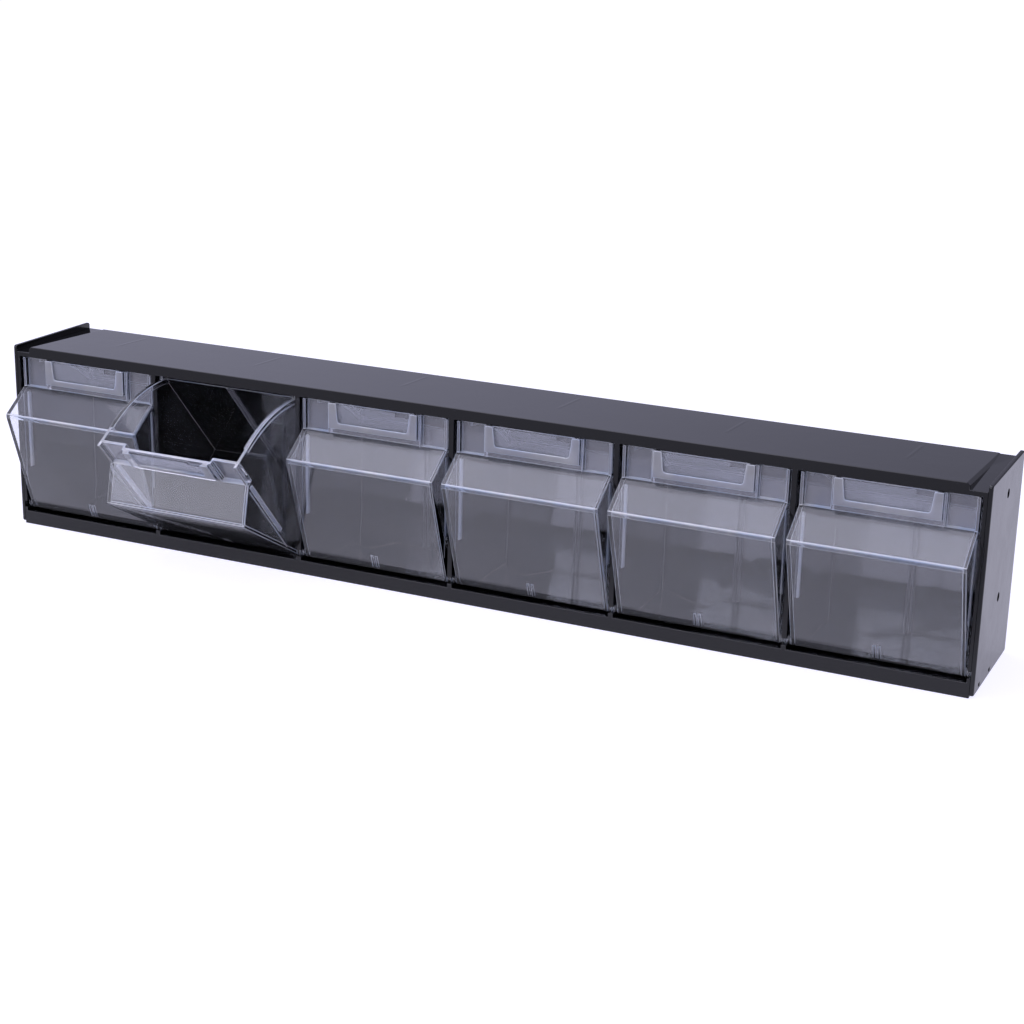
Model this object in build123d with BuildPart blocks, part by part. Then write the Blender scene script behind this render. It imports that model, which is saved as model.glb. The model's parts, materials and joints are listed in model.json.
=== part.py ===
"""Tilt bin organizer: a long black housing with six clear bins that tip forward on trunnions.

Millimetres. +X runs along the length, the bins open towards -Y, +Z is up. The origin is the middle of
the footprint, on the underside. Side sketches count their depth from the housing's front plane.
"""

import os
from math import asin, atan2, cos, degrees, sin, sqrt

from build123d import *

os.makedirs("parts", exist_ok=True)

# Housing
length = 600.0
depth = 74.0
height = 114.0
end_panel = 2.3
end_wall = 2.0
divider = 3.0
back_wall = 2.2
bottom_wall = 2.6
strip_wall = 1.4
strip_width = 9.2
strip_drop = 3.6
plateau_fall = 3.2
plateau_bevel = 1.6
rim = 2.5
top_rim = 6.5
bottom_rim = 8.5
edge_round = 0.5

# Holes for fastening
side_hole_r = 2.4
pilot_hole_r = 1.9
side_hole_inset = 40.0
side_hole_low = 43.0
side_hole_drop = 14.5
wall_hole_r = 2.5
wall_hole_drop = 17.0
wall_hole_bays = (2, 5)

# End panels: their foot and the catches that hold them
panel_foot = 1.2
panel_round = 1.5
catch_long = 3.0
catch_tall = 1.6
catch_reach = 1.5
catch_height = 4.2
catch_insets = (11.4, 34.4)
peg_r = 1.5
peg_reach = 1.2
peg_inset = 13.0
peg_drop = 14.5
seat_clearance = 0.1

# Bins
bin_count = 6
open_bin = 2
wall = 1.8
side_clearance = 1.5
back_clearance = 2.3
floor_clearance = 0.4
top_clearance = 0.6
arc_clearance = 2.5
face_inset = 1.2
label_zone = 18.0
slope_rise = 13.7
ridge_tall = 2.4
ridge_reach = 17.5
toe_inset = 3.4
toe_height = 10.6
heel_inset = 15.0
kink_inset = 15.8
ridge_round = 0.7
rim_bead = 1.0
rim_bead_deep = 3.2

# Trunnions and stop hooks
pivot_inset = 5.3
pivot_height = 12.6
trunnion_r = 2.2
trunnion_clearance = 0.06
trunnion_reach = 1.2
notch_mouth = 3.6
hook_bite = 1.1
hook_long = 2.6
hook_gap = 0.3

# Ribs inside the bins
rib_thick = 1.0
rib_proud = 1.2
rib_spacing = 2.6
front_rib_tall = 9.0
side_rib_wide = 2.4
side_rib_inset = 3.5
side_rib_low = 38.0
side_rib_drop = 4.9

# Label frame and its window
block_half = 29.8
side_recess = 3.0
frame_half = 28.4
frame_low = 14.8
frame_sill = 3.6
opening_low_half = 22.2
opening_top_half = 23.6
opening_round = 1.6
card_space = 0.5
window_thick = 0.8
window_play = 0.1
groove = 1.0
lip = 0.8
notch_start = 14.5
notch_deep = 2.2
window_drop = 0.6

# Places worked out from the sizes above
shell_length = length - 2 * end_panel
inner_length = shell_length - 2 * end_wall
bay = (inner_length - (bin_count - 1) * divider) / bin_count
pitch = bay + divider
strip_top = height - strip_drop
ceiling = strip_top - strip_wall
rim_low = height - top_rim
plateau_length = shell_length - 2 * strip_width
side_holes = [(side_hole_inset, side_hole_low), (side_hole_inset, height - side_hole_drop)]
catches = [(inset, catch_height) for inset in catch_insets]
pegs = [(peg_inset, height - peg_drop), (depth - peg_inset, height - peg_drop)]

bin_width = bay - 2 * side_clearance
bin_back = depth - back_wall - back_clearance
bin_floor = bottom_wall + floor_clearance
bin_top = rim_low - top_clearance
slope_top = bin_top - label_zone
ridge_top = slope_top - slope_rise
side_rib_tall = slope_top - side_rib_drop - side_rib_low
rim_radius = rim_low - pivot_height
arc_radius = rim_radius - arc_clearance
hook_radius = rim_radius + hook_bite
tall = height + 10


def bay_x(number):
    """Middle of a bay, counted from 1 at the left."""
    return (number - (bin_count + 1) / 2) * pitch


def housing_side(x):
    """Side plane at x: local x is the depth behind the front plane, local y the height."""
    return Plane(origin=(x, -depth / 2, 0), x_dir=(0, 1, 0), z_dir=(1, 0, 0))


def bin_side(x):
    """The same plane for a bin, whose own origin is the middle of its pivot axis."""
    return Plane(origin=(x, -pivot_inset, -pivot_height), x_dir=(0, 1, 0), z_dir=(1, 0, 0))


def bin_front(inset):
    """Front plane of a bin at a depth: local x is X, local y the height, its normal points forward."""
    return Plane(origin=(0, inset - pivot_inset, -pivot_height), x_dir=(1, 0, 0), z_dir=(0, -1, 0))


def on_circle(radius, angle):
    """Point of a circle about the pivot, the angle counted backwards from straight up."""
    return (pivot_inset + radius * sin(angle), pivot_height + radius * cos(angle))


# The hooks stand at the back edge of the side walls, and meet the top rim when the bin is open.
hook_rear = asin((bin_back - pivot_inset) / hook_radius)
hook_front = hook_rear - hook_long / hook_radius
rim_angle = atan2(rim + hook_gap - pivot_inset, rim_radius)
tilt = degrees(hook_front - rim_angle)
print("bins tip forward by", round(tilt, 2), "degrees")

# Housing
with BuildPart() as housing:
    Box(shell_length, depth, strip_top, align=(Align.CENTER, Align.CENTER, Align.MIN))
    with BuildSketch(housing_side(-plateau_length / 2)):
        with BuildLine():
            Polyline(
                (0, ceiling),
                (0, height),
                (depth, height - plateau_fall),
                (depth, ceiling),
                close=True,
            )
        make_face()
    extrude(amount=plateau_length)
    plateau_ends = housing.edges().filter_by(lambda e: e.center().Z > strip_top + 0.5)
    plateau_ends = plateau_ends.filter_by(lambda e: abs(abs(e.center().X) - plateau_length / 2) < 0.1)
    chamfer(plateau_ends.filter_by(lambda e: e.length > depth / 2), length=plateau_bevel)
    with BuildSketch(housing_side(-inner_length / 2)):
        with Locations((rim, bottom_wall)):
            Rectangle(depth - rim - back_wall, ceiling - bottom_wall, align=(Align.MIN, Align.MIN))
        with Locations((0, bottom_rim)):
            Rectangle(2 * rim, rim_low - bottom_rim, align=(Align.MIN, Align.MIN))
    extrude(amount=inner_length, mode=Mode.SUBTRACT)
    for gap in range(1, bin_count):
        with BuildSketch(housing_side(bay_x(gap) + pitch / 2 - divider / 2)):
            with Locations((0, bottom_wall / 2)):
                Rectangle(depth - back_wall / 2, ceiling + strip_wall / 2 - bottom_wall / 2,
                          align=(Align.MIN, Align.MIN))
        extrude(amount=divider)
    # Open notches that the bins' trunnions press into, through every upright wall
    with BuildSketch(housing_side(-shell_length / 2)):
        with Locations((pivot_inset, pivot_height)):
            Circle(trunnion_r + trunnion_clearance)
            Rectangle(pivot_inset + 1, notch_mouth, align=(Align.MAX, Align.CENTER))
    extrude(amount=shell_length, mode=Mode.SUBTRACT)
    for number in wall_hole_bays:
        with Locations(Location((bay_x(number), depth / 2, height - wall_hole_drop), (-90, 0, 0))):
            Hole(wall_hole_r, depth=2 * back_wall)
    for side in (-1, 1):
        # Pilot holes behind the panels' clearance holes, for screws to bite
        with BuildSketch(housing_side(side * shell_length / 2)):
            with Locations(*side_holes):
                Circle(pilot_hole_r)
        extrude(amount=-side * end_wall, mode=Mode.SUBTRACT)
        with BuildSketch(housing_side(side * shell_length / 2)):
            with Locations(*catches):
                Rectangle(catch_long, catch_tall)
        extrude(amount=side * catch_reach)
        with BuildSketch(housing_side(side * shell_length / 2)):
            with Locations(*pegs):
                Circle(peg_r)
        extrude(amount=side * peg_reach)

housing.part.label = "housing"
export_step(housing.part, "parts/housing.step")

# End panels
for name, side in (("end_panel_left", -1), ("end_panel_right", 1)):
    with BuildPart() as panel:
        with BuildSketch(housing_side(side * shell_length / 2)):
            with Locations((0, panel_foot)):
                Rectangle(depth, height - panel_foot, align=(Align.MIN, Align.MIN))
            fillet(vertices(), panel_round)
            with Locations(*side_holes):
                Circle(side_hole_r, mode=Mode.SUBTRACT)
            with Locations(*catches):
                Rectangle(catch_long + 2 * seat_clearance, catch_tall + 2 * seat_clearance, mode=Mode.SUBTRACT)
        extrude(amount=side * end_panel)
        with BuildSketch(housing_side(side * shell_length / 2)):
            with Locations(*pegs):
                Circle(peg_r + seat_clearance)
        extrude(amount=side * (peg_reach + seat_clearance), mode=Mode.SUBTRACT)
        outer_face = panel.faces().filter_by(Axis.X).sort_by(Axis.X)[-1 if side > 0 else 0]
        chamfer(outer_face.outer_wire().edges(), length=edge_round)
    panel.part.label = name
    export_step(panel.part, f"parts/{name}.step")

# One bin, closed, with its pivot axis on the X axis
front_points = [
    (toe_inset, toe_height),
    (-ridge_reach, ridge_top - ridge_tall),
    (-ridge_reach, ridge_top),
    (face_inset, slope_top),
]
kink = (kink_inset, pivot_height + sqrt(arc_radius**2 - (kink_inset - pivot_inset) ** 2))
kink_angle = asin((kink_inset - pivot_inset) / arc_radius)
back_angle = asin((bin_back - pivot_inset) / arc_radius)
back_top = on_circle(arc_radius, back_angle)

with BuildPart() as tub:
    with BuildSketch(bin_side(-bin_width / 2)):
        with BuildLine():
            Polyline(
                *front_points,
                (face_inset, tall),
                (bin_back, tall),
                (bin_back, bin_floor),
                (heel_inset, bin_floor),
                close=True,
            )
        make_face()
    extrude(amount=bin_width)
    ridge_edges = tub.edges().filter_by(Axis.X).sort_by(Axis.Y)[:2]
    fillet(ridge_edges, ridge_round)
    with BuildSketch(bin_side(-bin_width / 2 + wall)):
        with BuildLine():
            Polyline(
                *front_points,
                (face_inset, tall + 2 * wall),
                (bin_back, tall + 2 * wall),
                (bin_back, bin_floor),
                (heel_inset, bin_floor),
                close=True,
            )
        make_face()
        offset(amount=-wall, kind=Kind.INTERSECTION, mode=Mode.REPLACE)
    extrude(amount=bin_width - 2 * wall, mode=Mode.SUBTRACT)
    # Set-back fields beside the label block
    side_field = bin_width / 2 - wall - block_half
    field_middle = block_half + side_field / 2
    with BuildSketch(bin_front(face_inset)):
        with Locations((-field_middle, slope_top - wall), (field_middle, slope_top - wall)):
            Rectangle(side_field + wall, tall - slope_top, align=(Align.CENTER, Align.MIN))
    extrude(amount=-(side_recess + wall))
    with BuildSketch(bin_front(face_inset)):
        with Locations((-field_middle, slope_top), (field_middle, slope_top)):
            Rectangle(side_field, tall, align=(Align.CENTER, Align.MIN))
    extrude(amount=-side_recess, mode=Mode.SUBTRACT)
    # Guide ribs for a cross wall, on the back and at the foot of the front
    with BuildSketch(bin_front(bin_back - wall)):
        with Locations((-rib_spacing / 2, bin_floor + wall / 2), (rib_spacing / 2, bin_floor + wall / 2)):
            Rectangle(rib_thick, tall - bin_floor, align=(Align.CENTER, Align.MIN))
    extrude(amount=rib_proud)
    lean = atan2(ridge_reach + toe_inset, ridge_top - ridge_tall - toe_height)
    across = wall / 2 / cos(lean)
    for x in (-rib_spacing / 2, rib_spacing / 2):
        with BuildSketch(bin_side(x - rib_thick / 2)):
            with BuildLine():
                Polyline(
                    (toe_inset + across, toe_height),
                    (toe_inset + across + wall / 2 + rib_proud, toe_height),
                    (toe_inset + across + wall / 2 + rib_proud - front_rib_tall * sin(lean),
                     toe_height + front_rib_tall * cos(lean)),
                    (toe_inset + across - front_rib_tall * sin(lean), toe_height + front_rib_tall * cos(lean)),
                    close=True,
                )
            make_face()
        extrude(amount=rib_thick)
    for x in (-bin_width / 2 + wall / 2, bin_width / 2 - wall - rib_proud):
        with BuildSketch(bin_side(x)):
            with Locations((side_rib_inset, side_rib_low)):
                Rectangle(side_rib_wide, side_rib_tall, align=(Align.CENTER, Align.MIN))
        extrude(amount=rib_proud + wall / 2)
    # The curved mouth: a straight lead from the front edge, then an arc about the pivot
    with BuildSketch(bin_side(-bin_width / 2)):
        with BuildLine():
            Polyline((-ridge_reach - 1, bin_top), (face_inset, bin_top), kink)
            ThreePointArc(kink, on_circle(arc_radius, (kink_angle + back_angle) / 2), back_top)
            Polyline(
                back_top,
                (bin_back + 1, back_top[1]),
                (bin_back + 1, 2 * tall),
                (-ridge_reach - 1, 2 * tall),
                (-ridge_reach - 1, bin_top),
            )
        make_face()
    extrude(amount=bin_width, mode=Mode.SUBTRACT)
    # Thick bead along the mouth of the side walls
    for x in (-bin_width / 2 + wall / 2, bin_width / 2 - wall - rim_bead):
        with BuildSketch(bin_side(x)):
            with BuildLine():
                ThreePointArc(kink, on_circle(arc_radius, (kink_angle + back_angle) / 2), back_top)
                Line(back_top, on_circle(arc_radius - rim_bead_deep, back_angle))
                ThreePointArc(
                    on_circle(arc_radius - rim_bead_deep, back_angle),
                    on_circle(arc_radius - rim_bead_deep, (kink_angle + back_angle) / 2),
                    on_circle(arc_radius - rim_bead_deep, kink_angle),
                )
                Line(on_circle(arc_radius - rim_bead_deep, kink_angle), kink)
            make_face()
        extrude(amount=rim_bead + wall / 2)
    # Stop hooks at the back edge of both side walls
    for x in (-bin_width / 2, bin_width / 2 - wall):
        with BuildSketch(bin_side(x)):
            with BuildLine():
                Polyline(
                    on_circle(arc_radius - hook_long, hook_front),
                    on_circle(hook_radius, hook_front),
                    on_circle(hook_radius, hook_rear),
                    (bin_back, back_top[1] - hook_long),
                    close=True,
                )
            make_face()
        extrude(amount=wall)
    # Trunnions
    for side in (-1, 1):
        with BuildSketch(Plane.YZ.offset(side * (bin_width / 2 - wall / 2))):
            Circle(trunnion_r)
        extrude(amount=side * (wall / 2 + side_clearance + trunnion_reach))
    # Label frame, open at the top, with a groove for the window behind its lip
    with BuildSketch(bin_front(face_inset)):
        with Locations((0, bin_top - frame_low)):
            Rectangle(2 * frame_half, frame_low, align=(Align.CENTER, Align.MIN))
    extrude(amount=card_space + window_thick + window_play + lip)
    sill = bin_top - frame_low + frame_sill
    with BuildSketch(bin_front(face_inset)):
        Polygon(
            (-opening_low_half - groove, sill - groove),
            (opening_low_half + groove, sill - groove),
            (opening_top_half + groove, bin_top),
            (-opening_top_half - groove, bin_top),
            align=None,
        )
    extrude(amount=card_space + window_thick + window_play, mode=Mode.SUBTRACT)
    with BuildSketch(bin_front(face_inset)):
        opening = Polygon(
            (-opening_low_half, sill),
            (opening_low_half, sill),
            (opening_top_half, bin_top),
            (-opening_top_half, bin_top),
            align=None,
        )
        fillet(opening.vertices().sort_by(Axis.Z)[:2], opening_round)
    extrude(amount=2 * lip + card_space + window_thick, mode=Mode.SUBTRACT)

# One label window, seated behind the lip of a closed bin's frame
fit = groove - window_play
with BuildPart() as cover:
    with BuildSketch(bin_front(face_inset - card_space)):
        Polygon(
            (-opening_low_half - fit, sill - fit),
            (opening_low_half + fit, sill - fit),
            (opening_top_half + fit, bin_top),
            (-opening_top_half - fit, bin_top),
            align=None,
        )
        with Locations((0, bin_top - window_drop)):
            Rectangle(4 * frame_half, frame_low, align=(Align.CENTER, Align.MIN), mode=Mode.SUBTRACT)
        with Locations((notch_start, bin_top - window_drop - notch_deep)):
            Rectangle(2 * frame_half, frame_low, align=(Align.MIN, Align.MIN), mode=Mode.SUBTRACT)
    extrude(amount=window_thick)

# The six bins and their windows, in their bays; one of them stands open
for number in range(1, bin_count + 1):
    seat = Location(
        (bay_x(number), pivot_inset - depth / 2, pivot_height),
        (tilt if number == open_bin else 0, 0, 0),
    )
    with BuildPart() as tray:
        with Locations(seat):
            add(tub.part)
    tray.part.label = f"bin_{number}"
    export_step(tray.part, f"parts/bin_{number}.step")
    with BuildPart() as window:
        with Locations(seat):
            add(cover.part)
    window.part.label = f"label_window_{number}"
    export_step(window.part, f"parts/label_window_{number}.step")
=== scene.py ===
"""Looks of the tilt bin organizer: a black moulded housing with clear tip-out bins, on a white studio floor.

Metres, in the frame of the CAD model: +X along the length, the bins open towards -Y, +Z is up.
"""

import json
import math

import bmesh
import bpy
from mathutils import Matrix, Vector

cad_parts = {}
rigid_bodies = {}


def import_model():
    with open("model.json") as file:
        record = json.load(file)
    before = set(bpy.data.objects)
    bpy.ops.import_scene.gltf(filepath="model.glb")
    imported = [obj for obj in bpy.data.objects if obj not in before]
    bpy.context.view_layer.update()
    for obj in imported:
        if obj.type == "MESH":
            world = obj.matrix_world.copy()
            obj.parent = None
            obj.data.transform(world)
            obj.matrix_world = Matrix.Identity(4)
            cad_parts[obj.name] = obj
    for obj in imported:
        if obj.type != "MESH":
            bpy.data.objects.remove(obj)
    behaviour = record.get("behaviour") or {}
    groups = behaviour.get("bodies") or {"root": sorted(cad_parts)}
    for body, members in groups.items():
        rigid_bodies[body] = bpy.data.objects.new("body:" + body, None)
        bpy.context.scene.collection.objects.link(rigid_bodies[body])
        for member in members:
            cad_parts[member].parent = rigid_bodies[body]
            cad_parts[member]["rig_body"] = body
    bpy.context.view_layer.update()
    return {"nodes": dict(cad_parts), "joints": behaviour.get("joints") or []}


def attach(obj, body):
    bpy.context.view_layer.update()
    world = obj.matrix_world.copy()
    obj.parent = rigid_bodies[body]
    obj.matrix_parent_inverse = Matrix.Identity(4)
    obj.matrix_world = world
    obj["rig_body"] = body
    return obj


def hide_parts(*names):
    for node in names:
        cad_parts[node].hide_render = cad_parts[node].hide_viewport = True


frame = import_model()
scene = bpy.context.scene
scene.view_settings.view_transform = "Standard"

# The CAD model's bays, which the looks line up with
BINS = range(1, 7)
MIDDLE_BIN = (BINS[0] + BINS[-1]) / 2
BAY_PITCH = 0.0990667
BIN_WIDTH = 0.0931
END_PANELS = ["end_panel_left", "end_panel_right"]

# Camera of the photograph: where it stands, its axes, and its focal length in pixels of a 1024 pixel frame
EYE = Vector((0.490843, -1.0126, 0.405147))
CAMERA_RIGHT = Vector((0.9040234, 0.4269403, 0.0215317))
CAMERA_DOWN = Vector((0.1491777, -0.2678724, -0.9518353))
CAMERA_FORWARD = Vector((-0.4006091, 0.8636934, -0.3058529))
FOCAL_PIXELS = 2043.57
FRAME_PIXELS = 1024
SENSOR_MM = 36.0
NEAREST, FARTHEST = 0.05, 60.0


def place_camera():
    data = bpy.data.cameras.new("camera")
    data.sensor_fit = "HORIZONTAL"
    data.sensor_width = SENSOR_MM
    data.lens = SENSOR_MM * FOCAL_PIXELS / FRAME_PIXELS
    data.clip_start, data.clip_end = NEAREST, FARTHEST
    camera = bpy.data.objects.new("camera", data)
    scene.collection.objects.link(camera)
    turn = Matrix((CAMERA_RIGHT, -CAMERA_DOWN, -CAMERA_FORWARD)).transposed()
    camera.matrix_world = Matrix.Translation(EYE) @ turn.to_4x4()
    scene.camera = camera


place_camera()


# Nodes that the finishes, the parting lines and the studio are made of
UNSTRETCHED = (1.0, 1.0, 1.0)
BLEND_FROM, BLEND_TO = 0.3, 0.7


def add_node(tree, kind, settings=None, **inputs):
    """A node with its settings, and its inputs given as values or as outputs to link.

    An input goes by its name, with _ for a space, or by its place, such as _0 for the first.
    """
    node = tree.nodes.new(kind)
    for name, value in (settings or {}).items():
        setattr(node, name, value)
    for name, value in inputs.items():
        socket = node.inputs[int(name[1:])] if name[0] == "_" else node.inputs[name.replace("_", " ")]
        if isinstance(value, bpy.types.NodeSocket):
            tree.links.new(value, socket)
        else:
            socket.default_value = value
    return node


def combine(tree, operation, first, *others):
    """The result of Math nodes that join sockets or numbers one after the other."""
    for other in others:
        first = add_node(tree, "ShaderNodeMath", {"operation": operation}, _0=first, _1=other).outputs[0]
    return first


def weighted(tree, *parts):
    """The sum of values, each times its weight."""
    return combine(tree, "ADD", *(combine(tree, "MULTIPLY", value, weight) for value, weight in parts))


def eased(tree, value, low, high, at_low=0.0, at_high=1.0):
    """A value that goes smoothly from at_low to at_high between two bounds."""
    return add_node(tree, "ShaderNodeMapRange", {"interpolation_type": "SMOOTHSTEP"}, Value=value,
                    From_Min=low, From_Max=high, To_Min=at_low, To_Max=at_high).outputs["Result"]


def noise(tree, where, scale, detail, roughness, stretch=UNSTRETCHED):
    """Noise on object coordinates, stretched along an axis where the stretch is below one."""
    moved = add_node(tree, "ShaderNodeMapping", Vector=where, Scale=stretch).outputs["Vector"]
    return add_node(tree, "ShaderNodeTexNoise", Vector=moved, Scale=scale, Detail=detail,
                    Roughness=roughness).outputs["Fac"]


def blend_colours(tree, share, first, second):
    ramp = add_node(tree, "ShaderNodeValToRGB", Fac=share)
    low, high = ramp.color_ramp.elements
    low.position, high.position = BLEND_FROM, BLEND_TO
    low.color, high.color = (*first, 1.0), (*second, 1.0)
    return ramp.outputs["Color"]


def raise_surface(tree, shader, height, strength):
    """Bump by a height in metres."""
    bump = add_node(tree, "ShaderNodeBump", Height=height, Strength=strength, Distance=1.0)
    tree.links.new(bump.outputs["Normal"], shader.inputs["Normal"])


def start_material(name):
    made = bpy.data.materials.new(name)
    made.use_nodes = True
    tree = made.node_tree
    where = add_node(tree, "ShaderNodeTexCoord").outputs["Object"]
    return made, tree, tree.nodes["Principled BSDF"], where


# Black moulded plastic. A noise is given by its scale, detail and roughness.
BLACK_DEEP, BLACK_PALE = (0.0020, 0.0020, 0.0026), (0.0042, 0.0042, 0.0054)
BLACK_IOR = 1.59
BLACK_CLOUD = (9.0, 3.0, 0.55)
BLACK_MOTTLE = (75.0, 3.0, 0.6)
BLACK_FLOW = (40.0, 3.0, 0.5)
BLACK_GRAIN = (1900.0, 2.0, 0.6)
FLOW_STRETCH = (0.12, 1.0, 1.0)
CLOUD_SHARE, MOTTLE_SHARE = 0.4, 0.6
SHEEN_FROM, SHEEN_TO = 0.35, 0.65
MOTTLE_HEIGHT = 0.00004
BLACK_BUMP = 1.0

# Moulding lines of the housing: half their width, their height, and where they fade out
TOP_LINE_HALF, REAR_LINE_HALF = 0.0016, 0.0032
LINE_HEIGHT = 0.00007
LINE_FRONT, LINE_BACK = -0.008, 0.032
FRONT_FADE, BACK_FADE, LEVEL_FADE = 0.012, 0.008, 0.0008
TOP_LEVEL = 0.1095
REAR_LEVEL = 0.0368


def moulding_lines(tree, where):
    """Faint lines, raised over the middle of each bay on the top and sunk behind the dividers on the back."""
    axes = add_node(tree, "ShaderNodeSeparateXYZ", Vector=where).outputs
    from_divider = combine(tree, "PINGPONG", axes["X"], BAY_PITCH / 2)
    from_middle = combine(tree, "SUBTRACT", BAY_PITCH / 2, from_divider)
    raised = eased(tree, from_middle, 0.0, TOP_LINE_HALF, 1.0, 0.0)
    front = eased(tree, axes["Y"], LINE_FRONT, LINE_FRONT + FRONT_FADE)
    back = eased(tree, axes["Y"], LINE_BACK - BACK_FADE, LINE_BACK, 1.0, 0.0)
    top = eased(tree, axes["Z"], TOP_LEVEL, TOP_LEVEL + LEVEL_FADE)
    sunk = eased(tree, from_divider, 0.0, REAR_LINE_HALF, 1.0, 0.0)
    rear = eased(tree, axes["Y"], REAR_LEVEL - LEVEL_FADE, REAR_LEVEL)
    on_top = combine(tree, "MULTIPLY", raised, front, back, top)
    on_back = combine(tree, "MULTIPLY", sunk, rear)
    return combine(tree, "SUBTRACT", on_top, on_back)


def black_plastic(name, roughness, grain_height, lined):
    """Black plastic with a fine grain, slight waves from cooling and faint flow lines along the length."""
    made, tree, shader, where = start_material(name)
    cloud = noise(tree, where, *BLACK_CLOUD)
    mottle = noise(tree, where, *BLACK_MOTTLE)
    flow = noise(tree, where, *BLACK_FLOW, FLOW_STRETCH)
    grain = noise(tree, where, *BLACK_GRAIN)
    tree.links.new(blend_colours(tree, flow, BLACK_DEEP, BLACK_PALE), shader.inputs["Base Color"])
    sheen = weighted(tree, (cloud, CLOUD_SHARE), (mottle, MOTTLE_SHARE))
    tree.links.new(eased(tree, sheen, SHEEN_FROM, SHEEN_TO, *roughness), shader.inputs["Roughness"])
    heights = [(grain, grain_height), (mottle, MOTTLE_HEIGHT)]
    if lined:
        heights.append((moulding_lines(tree, where), LINE_HEIGHT))
    raise_surface(tree, shader, weighted(tree, *heights), BLACK_BUMP)
    shader.inputs["IOR"].default_value = BLACK_IOR
    return made


# Clear moulded plastic
CLEAR_IOR = 1.58
CLEAR_CLOUD = (60.0, 3.0, 0.55)
CLEAR_STREAK = (70.0, 2.0, 0.5)
CLEAR_WAVE = (22.0, 2.0, 0.5)
STREAK_STRETCH = (1.0, 1.0, 0.15)
STREAK_FROM, STREAK_TO = 0.35, 0.75
WAVE_HEIGHT = 0.00003
CLEAR_BUMP = 0.6
WHITE = (1.0, 1.0, 1.0)


def clear_plastic(name, pale, tinted, roughness, clearness):
    """Clear plastic with faint flow lines; where it is less clear, its pale colour shows as a haze, which in
    the edge, ridge, lip and frame finishes is a painted highlight.
    """
    made, tree, shader, where = start_material(name)
    cloud = noise(tree, where, *CLEAR_CLOUD)
    streak = noise(tree, where, *CLEAR_STREAK, STREAK_STRETCH)
    wave = noise(tree, where, *CLEAR_WAVE)
    tree.links.new(blend_colours(tree, cloud, pale, tinted), shader.inputs["Base Color"])
    tree.links.new(eased(tree, streak, STREAK_FROM, STREAK_TO, *roughness), shader.inputs["Roughness"])
    raise_surface(tree, shader, weighted(tree, (wave, WAVE_HEIGHT)), CLEAR_BUMP)
    shader.inputs["IOR"].default_value = CLEAR_IOR
    shader.inputs["Transmission Weight"].default_value = clearness
    return made


# Roughness goes from the first to the second value over the plastic
housing_black = black_plastic("housing_black", roughness=(0.03, 0.09), grain_height=0.000002, lined=True)
panel_black = black_plastic("panel_black", roughness=(0.12, 0.20), grain_height=0.00001, lined=False)
bin_clear = clear_plastic("bin_clear", pale=(0.97, 0.975, 0.995), tinted=(0.93, 0.945, 0.985),
                          roughness=(0.0, 0.02), clearness=1.0)
# The edge, ridge, lip and frame finishes are pale hazes that paint bright highlight lines on a bin's edges,
# ribs, rims, ridge, lip and label frame
painted_edge_highlight = clear_plastic("painted_edge_highlight", pale=(0.64, 0.75, 0.97), tinted=WHITE,
                           roughness=(0.03, 0.10), clearness=0.38)
painted_ridge_highlight = clear_plastic("painted_ridge_highlight", pale=(0.86, 0.91, 1.0), tinted=WHITE,
                            roughness=(0.02, 0.08), clearness=0.22)
painted_lip_highlight = clear_plastic("painted_lip_highlight", pale=(0.66, 0.78, 1.0), tinted=WHITE,
                          roughness=(0.02, 0.08), clearness=0.74)
label_clear = clear_plastic("label_clear", pale=(0.80, 0.82, 0.93), tinted=(0.95, 0.95, 1.0),
                            roughness=(0.01, 0.06), clearness=0.74)
painted_frame_highlight = clear_plastic("painted_frame_highlight", pale=(0.84, 0.86, 0.97), tinted=WHITE,
                            roughness=(0.02, 0.08), clearness=0.64)
front_clear = clear_plastic("front_clear", pale=(0.96, 0.965, 0.99), tinted=(0.92, 0.935, 0.98),
                            roughness=(0.0, 0.03), clearness=0.92)
window_clear = clear_plastic("window_clear", pale=(0.97, 0.98, 1.0), tinted=(0.94, 0.96, 1.0),
                             roughness=(0.0, 0.04), clearness=0.97)


# Moulded edges: a copy of each node with its edges rounded
FLAT_ANGLE = math.radians(0.3)
EDGE_ANGLE = math.radians(40.0)
SHARP_ANGLE = math.radians(50.0)
WELD = 1e-6
EDGE_SEGMENTS = 2
ROUND_PROFILE = 0.5
LARGE_FACES_FIRST = 100
HOUSING_RADIUS = 0.0004
PANEL_RADIUS = 0.0003
BIN_RADIUS = 0.00036
WINDOW_RADIUS = 0.00015

# A bin's finishes in the order of their slots, and where they begin and end on a shut bin
BIN_FINISHES = [bin_clear, painted_edge_highlight, label_clear, front_clear, painted_lip_highlight, painted_frame_highlight, painted_ridge_highlight]
EDGE_SLOT, LABEL_SLOT, FRONT_SLOT, LIP_SLOT, FRAME_SLOT, RIDGE_SLOT = 1, 2, 3, 4, 5, 6
LIP_BACK = -0.0536
FRAME_BACK = -0.0372
LABEL_BACK, LABEL_LOW = -0.0325, 0.0885
RIM_BACK, RIM_LOW = -0.02, 0.10
MOUTH_LOW = 0.079
RIB_FRONT, RIB_BACK = -0.0363, -0.0323
RIB_LOW, RIB_HIGH = 0.0375, 0.0845
RIB_AREA = 0.0002
UPRIGHT, UPWARD, FRONTWARD = 0.1, 0.9, -0.5


def shutting(node):
    """The turn that shuts a bin, which is nothing for the bins that rest shut and for what doesn't tip."""
    for joint in frame["joints"]:
        if joint["child"] == node:
            pivot = Matrix.Translation(joint["pos_m"])
            turn = Matrix.Rotation(math.radians(joint["range_deg"][0]), 4, Vector(joint["axis"]))
            return pivot @ turn @ pivot.inverted()
    return Matrix.Identity(4)


def is_side_rib(face, middle):
    """Whether a face is one of the narrow ones of the guide ribs inside a shut bin's side walls."""
    return RIB_FRONT < middle.y < RIB_BACK and RIB_LOW < middle.z < RIB_HIGH and face.calc_area() < RIB_AREA


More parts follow.
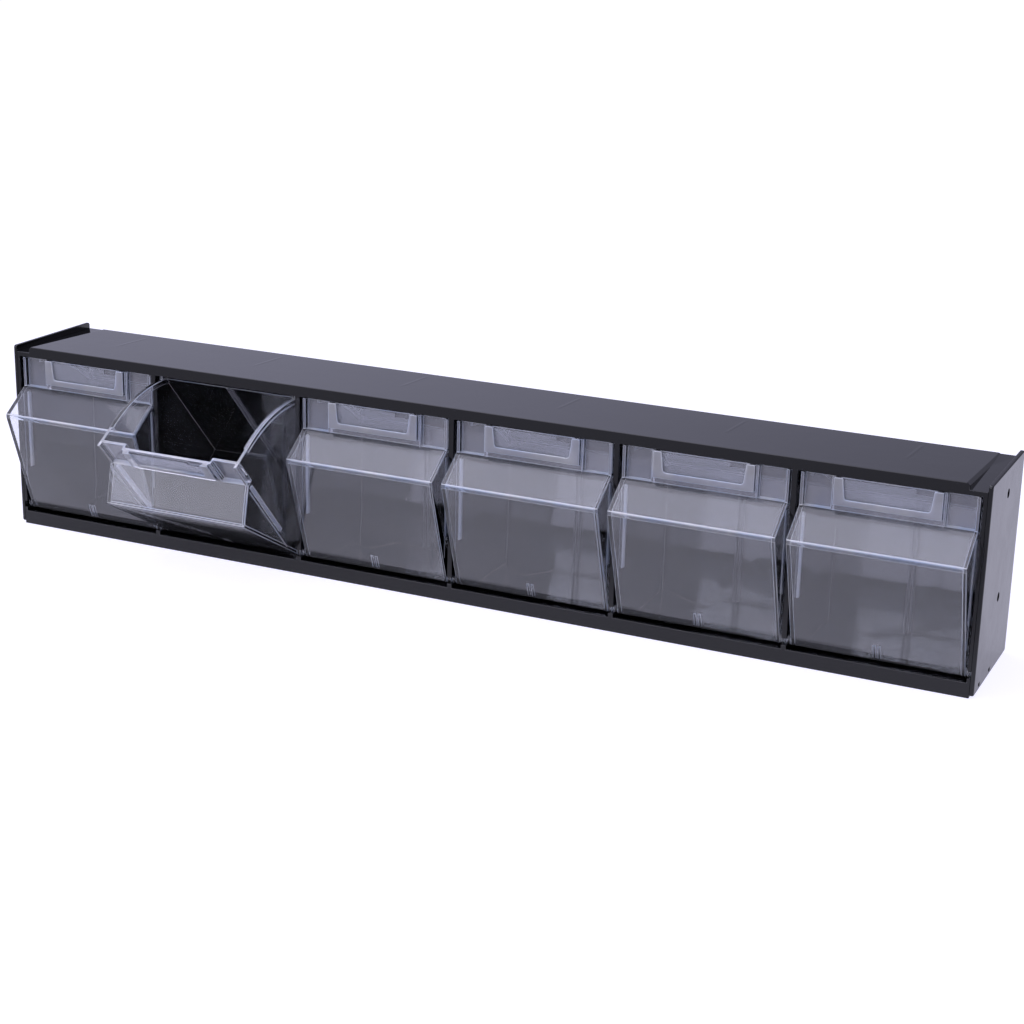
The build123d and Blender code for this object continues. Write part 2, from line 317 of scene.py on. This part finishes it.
def finish_bin(shape):
    """Gives the faces of a shut bin their finishes, apart from the clear walls.

    The ridge and lip, the guide ribs, the rims and the label frame get a pale haze that is a painted
    highlight, as the rounded edges do.
    The label field, the handled front and the edges deep in the bin are a little less clear than the walls.
    """
    for face in shape.faces:
        middle = face.calc_center_median()
        stands = abs(face.normal.z) < UPRIGHT
        # The lip and ridge take finishes whose haze paints the bright bar and line of light along the ridge
        if middle.y < LIP_BACK:
            face.material_index = LIP_SLOT if stands else RIDGE_SLOT
        elif face.material_index == EDGE_SLOT:
            if middle.y > LABEL_BACK and middle.z < MOUTH_LOW:
                face.material_index = LABEL_SLOT if stands else FRONT_SLOT
        elif is_side_rib(face, middle):
            face.material_index = EDGE_SLOT
        elif face.normal.z > UPWARD and middle.y < RIM_BACK and middle.z > LABEL_LOW:
            face.material_index = FRAME_SLOT if middle.z > RIM_LOW else EDGE_SLOT
        elif face.normal.y < FRONTWARD and middle.y < LABEL_BACK:
            above = FRAME_SLOT if middle.y < FRAME_BACK else LABEL_SLOT
            face.material_index = above if middle.z > LABEL_LOW else FRONT_SLOT


def mould(node, finishes, radius):
    """A copy of a CAD node with its outer edges rounded, which stands for the node.

    A bin has several finishes, and its inner corners are rounded too.
    """
    cad = frame["nodes"][node]
    is_bin = len(finishes) > 1
    shut = shutting(node)
    shape = bmesh.new()
    shape.from_mesh(cad.data)
    shape.transform(shut)
    bmesh.ops.remove_doubles(shape, verts=shape.verts, dist=WELD)
    bmesh.ops.dissolve_limit(shape, angle_limit=FLAT_ANGLE, verts=shape.verts, edges=shape.edges)
    corners = [edge for edge in shape.edges if len(edge.link_faces) == 2
               and edge.calc_face_angle() > EDGE_ANGLE and (edge.is_convex or is_bin)]
    # A bin's rounded edges take the edge finish, whose pale haze is a painted highlight
    bmesh.ops.bevel(shape, geom=corners, offset=radius, offset_type="OFFSET", segments=EDGE_SEGMENTS,
                    profile=ROUND_PROFILE, affect="EDGES", clamp_overlap=False,
                    material=EDGE_SLOT if is_bin else 0)
    if is_bin:
        finish_bin(shape)
    for face in shape.faces:
        face.smooth = True
    for edge in shape.edges:
        edge.smooth = len(edge.link_faces) == 2 and edge.calc_face_angle(0.0) < SHARP_ANGLE
    shape.transform(shut.inverted())
    mesh = bpy.data.meshes.new(f"{node}_moulding")
    shape.to_mesh(mesh)
    shape.free()
    for finish in finishes:
        mesh.materials.append(finish)
    piece = bpy.data.objects.new(f"{node}_moulding", mesh)
    scene.collection.objects.link(piece)
    even = piece.modifiers.new("even_faces", "WEIGHTED_NORMAL")
    even.keep_sharp = True
    even.weight = LARGE_FACES_FIRST
    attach(piece, cad["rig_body"])
    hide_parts(node)


mould("housing", [housing_black], HOUSING_RADIUS)
for panel in END_PANELS:
    mould(panel, [panel_black], PANEL_RADIUS)
for number in BINS:
    mould(f"bin_{number}", BIN_FINISHES, BIN_RADIUS)
    mould(f"label_window_{number}", [window_clear], WINDOW_RADIUS)


# Highlight lines: slim raised lines down the outside of a bin's side walls, where its front meets its body,
# in the edge finish, whose haze paints a bright highlight line there
HIGHLIGHT_LINE_AT = -0.0374
HIGHLIGHT_LINE_LOW, HIGHLIGHT_LINE_HIGH = 0.026, 0.0845
HIGHLIGHT_LINE_SIDES = 12
HIGHLIGHT_LINE_SIZES = {"Length": HIGHLIGHT_LINE_HIGH - HIGHLIGHT_LINE_LOW, "Width": 0.0010, "Rise": 0.00014, "Spread": BIN_WIDTH}


def highlight_line_tree():
    """Two upright lens-shaped lines, a bin's width apart."""
    tree = bpy.data.node_groups.new("painted_highlight_lines", "GeometryNodeTree")
    for name in HIGHLIGHT_LINE_SIZES:
        tree.interface.new_socket(name, in_out="INPUT", socket_type="NodeSocketFloat")
    tree.interface.new_socket("Geometry", in_out="OUTPUT", socket_type="NodeSocketGeometry")
    sizes = add_node(tree, "NodeGroupInput").outputs
    rod = add_node(tree, "GeometryNodeMeshCylinder", Vertices=HIGHLIGHT_LINE_SIDES, Radius=1.0,
                   Depth=sizes["Length"]).outputs["Mesh"]
    half_width = combine(tree, "MULTIPLY", sizes["Width"], 0.5)
    section = add_node(tree, "ShaderNodeCombineXYZ", X=sizes["Rise"], Y=half_width, Z=1.0).outputs["Vector"]
    line = add_node(tree, "GeometryNodeTransform", Geometry=rod, Scale=section).outputs["Geometry"]
    half_left = combine(tree, "MULTIPLY", sizes["Spread"], -0.5)
    left = add_node(tree, "ShaderNodeCombineXYZ", X=half_left).outputs["Vector"]
    apart = add_node(tree, "ShaderNodeCombineXYZ", X=sizes["Spread"]).outputs["Vector"]
    walls = add_node(tree, "GeometryNodeMeshLine", Count=2, Start_Location=left, Offset=apart).outputs["Mesh"]
    lines = add_node(tree, "GeometryNodeInstanceOnPoints", Points=walls, Instance=line).outputs["Instances"]
    real = add_node(tree, "GeometryNodeRealizeInstances", Geometry=lines).outputs["Geometry"]
    add_node(tree, "NodeGroupOutput", Geometry=real)
    return tree


def draw_highlight_lines(number, tree):
    """The lines of one bin, made upright at the origin and put where the bin rests."""
    node = f"bin_{number}"
    seed = bpy.data.objects.new("line_seed", bpy.data.meshes.new("line_seed"))
    scene.collection.objects.link(seed)
    maker = seed.modifiers.new("lines", "NODES")
    maker.node_group = tree
    for socket in tree.interface.items_tree:
        if socket.in_out == "INPUT":
            maker[socket.identifier] = HIGHLIGHT_LINE_SIZES[socket.name]
    view = bpy.context.evaluated_depsgraph_get()
    mesh = bpy.data.meshes.new_from_object(seed.evaluated_get(view), depsgraph=view)
    bpy.data.objects.remove(seed)
    mesh.materials.clear()  # the rods bring an empty slot along
    # the edge finish paints the lines as bright highlights
    mesh.materials.append(painted_edge_highlight)
    middle = Vector(((number - MIDDLE_BIN) * BAY_PITCH, HIGHLIGHT_LINE_AT, (HIGHLIGHT_LINE_LOW + HIGHLIGHT_LINE_HIGH) / 2))
    mesh.transform(shutting(node).inverted() @ Matrix.Translation(middle))
    mesh.name = f"{node}_painted_highlight_lines"
    piece = bpy.data.objects.new(mesh.name, mesh)
    scene.collection.objects.link(piece)
    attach(piece, frame["nodes"][node]["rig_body"])


lines_tree = highlight_line_tree()
for number in BINS:
    draw_highlight_lines(number, lines_tree)


# Studio: a floor, the surroundings and two lamps. An easing is given by its bounds and its values there.
FLOOR_HALF = 12.0
FLOOR_DROP = 0.0001
FLOOR_GREY = (0.30, 0.30, 0.30, 1.0)
FLOOR_GLOW = (0.92, 0.91, 1.12, 1.0)
FLOOR_SHOWN, FLOOR_THROUGH = 0.95, 1.0
FLOOR_NEARBY = (-0.20, 0.02, 0.16, 0.62)
FLOOR_FARTHER = (0.45, 1.2, 1.0, 0.0)
MIRRORED_SHARE = 0.6
WORLD_COLOUR = (0.90, 0.90, 1.18, 1.0)
WORLD_SHOWN, WORLD_MIRRORED, WORLD_THROUGH = 1.12, 0.0, 1.0
WORLD_BEHIND = (-0.6, 0.9, 0.35, 0.30)
WORLD_LEFTWARD = (-0.75, 0.05, 0.26, -0.06)
WORLD_OVERHEAD = (0.3, 1.0, 0.0, 0.35)
LAMP_COLOUR = (0.93, 0.93, 1.06)


def ray_share(tree, shown, mirrored, through):
    """A number that differs by kind of ray, and is zero for the light that falls on things.

    A ray that was mirrored before it went through clear plastic counts for the most part as a mirrored one.
    """
    path = add_node(tree, "ShaderNodeLightPath").outputs
    mirrored_before = combine(tree, "MINIMUM", path["Glossy Depth"], 1.0)
    mirrored_first = combine(tree, "MULTIPLY", mirrored_before, MIRRORED_SHARE)
    past = add_node(tree, "ShaderNodeMix", _0=mirrored_first, _2=through, _3=mirrored).outputs[0]
    kinds = (("Is Camera Ray", shown), ("Is Glossy Ray", mirrored), ("Is Transmission Ray", past))
    return combine(tree, "MAXIMUM", *(combine(tree, "MULTIPLY", path[kind], share) for kind, share in kinds))


def lay_floor():
    """A white floor, whose mirror image is dimmer in front of the organizer and far behind it."""
    mesh = bpy.data.meshes.new("studio_floor")
    corners = [(x * FLOOR_HALF, y * FLOOR_HALF, -FLOOR_DROP) for x, y in ((-1, -1), (1, -1), (1, 1), (-1, 1))]
    mesh.from_pydata(corners, [], [(0, 1, 2, 3)])
    floor = bpy.data.objects.new("studio_floor", mesh)
    scene.collection.objects.link(floor)
    made, tree, shader, where = start_material("studio_floor")
    tree.nodes.remove(shader)
    axes = add_node(tree, "ShaderNodeSeparateXYZ", Vector=where).outputs
    nearby = eased(tree, axes["Y"], *FLOOR_NEARBY)
    farther = eased(tree, axes["Y"], *FLOOR_FARTHER)
    mirrored = combine(tree, "MULTIPLY", nearby, farther)
    matt = add_node(tree, "ShaderNodeBsdfDiffuse", Color=FLOOR_GREY)
    glow = add_node(tree, "ShaderNodeEmission", Color=FLOOR_GLOW,
                    Strength=ray_share(tree, FLOOR_SHOWN, mirrored, FLOOR_THROUGH))
    both = add_node(tree, "ShaderNodeAddShader", _0=matt.outputs[0], _1=glow.outputs[0])
    tree.links.new(both.outputs[0], tree.nodes["Material Output"].inputs["Surface"])
    mesh.materials.append(made)


def light_world():
    """Soft surroundings, brighter on the left and overhead, and white to the camera and through the bins."""
    world = bpy.data.worlds.new("studio")
    scene.world = world
    world.use_nodes = True
    tree = world.node_tree
    ground = tree.nodes["Background"]
    way = add_node(tree, "ShaderNodeTexCoord").outputs["Generated"]
    axes = add_node(tree, "ShaderNodeSeparateXYZ", Vector=way).outputs
    behind = eased(tree, axes["Y"], *WORLD_BEHIND)
    leftward = eased(tree, axes["X"], *WORLD_LEFTWARD)
    overhead = eased(tree, axes["Z"], *WORLD_OVERHEAD)
    soft = combine(tree, "ADD", behind, leftward, overhead)
    white = ray_share(tree, WORLD_SHOWN, WORLD_MIRRORED, WORLD_THROUGH)
    tree.links.new(combine(tree, "MAXIMUM", soft, white), ground.inputs["Strength"])
    ground.inputs["Color"].default_value = WORLD_COLOUR


def hang_lamp(name, place, target, width, tall, radiance):
    data = bpy.data.lights.new(name, "AREA")
    data.shape = "RECTANGLE"
    data.size, data.size_y = width, tall
    data.energy = radiance * math.pi * width * tall
    data.color = LAMP_COLOUR
    lamp = bpy.data.objects.new(name, data)
    scene.collection.objects.link(lamp)
    away = Vector(place) - Vector(target)
    lamp.matrix_world = Matrix.Translation(place) @ away.to_track_quat("Z", "Y").to_matrix().to_4x4()
    lamp.visible_camera = False


lay_floor()
light_world()
hang_lamp("overhead_softbox", place=(-0.40, -0.15, 1.5), target=(-0.1, 0.0, 0.05),
          width=2.6, tall=1.2, radiance=1.2)
hang_lamp("front_softbox", place=(-0.90, -2.0, 0.60), target=(0.0, 0.0, 0.06),
          width=3.0, tall=1.0, radiance=1.6)
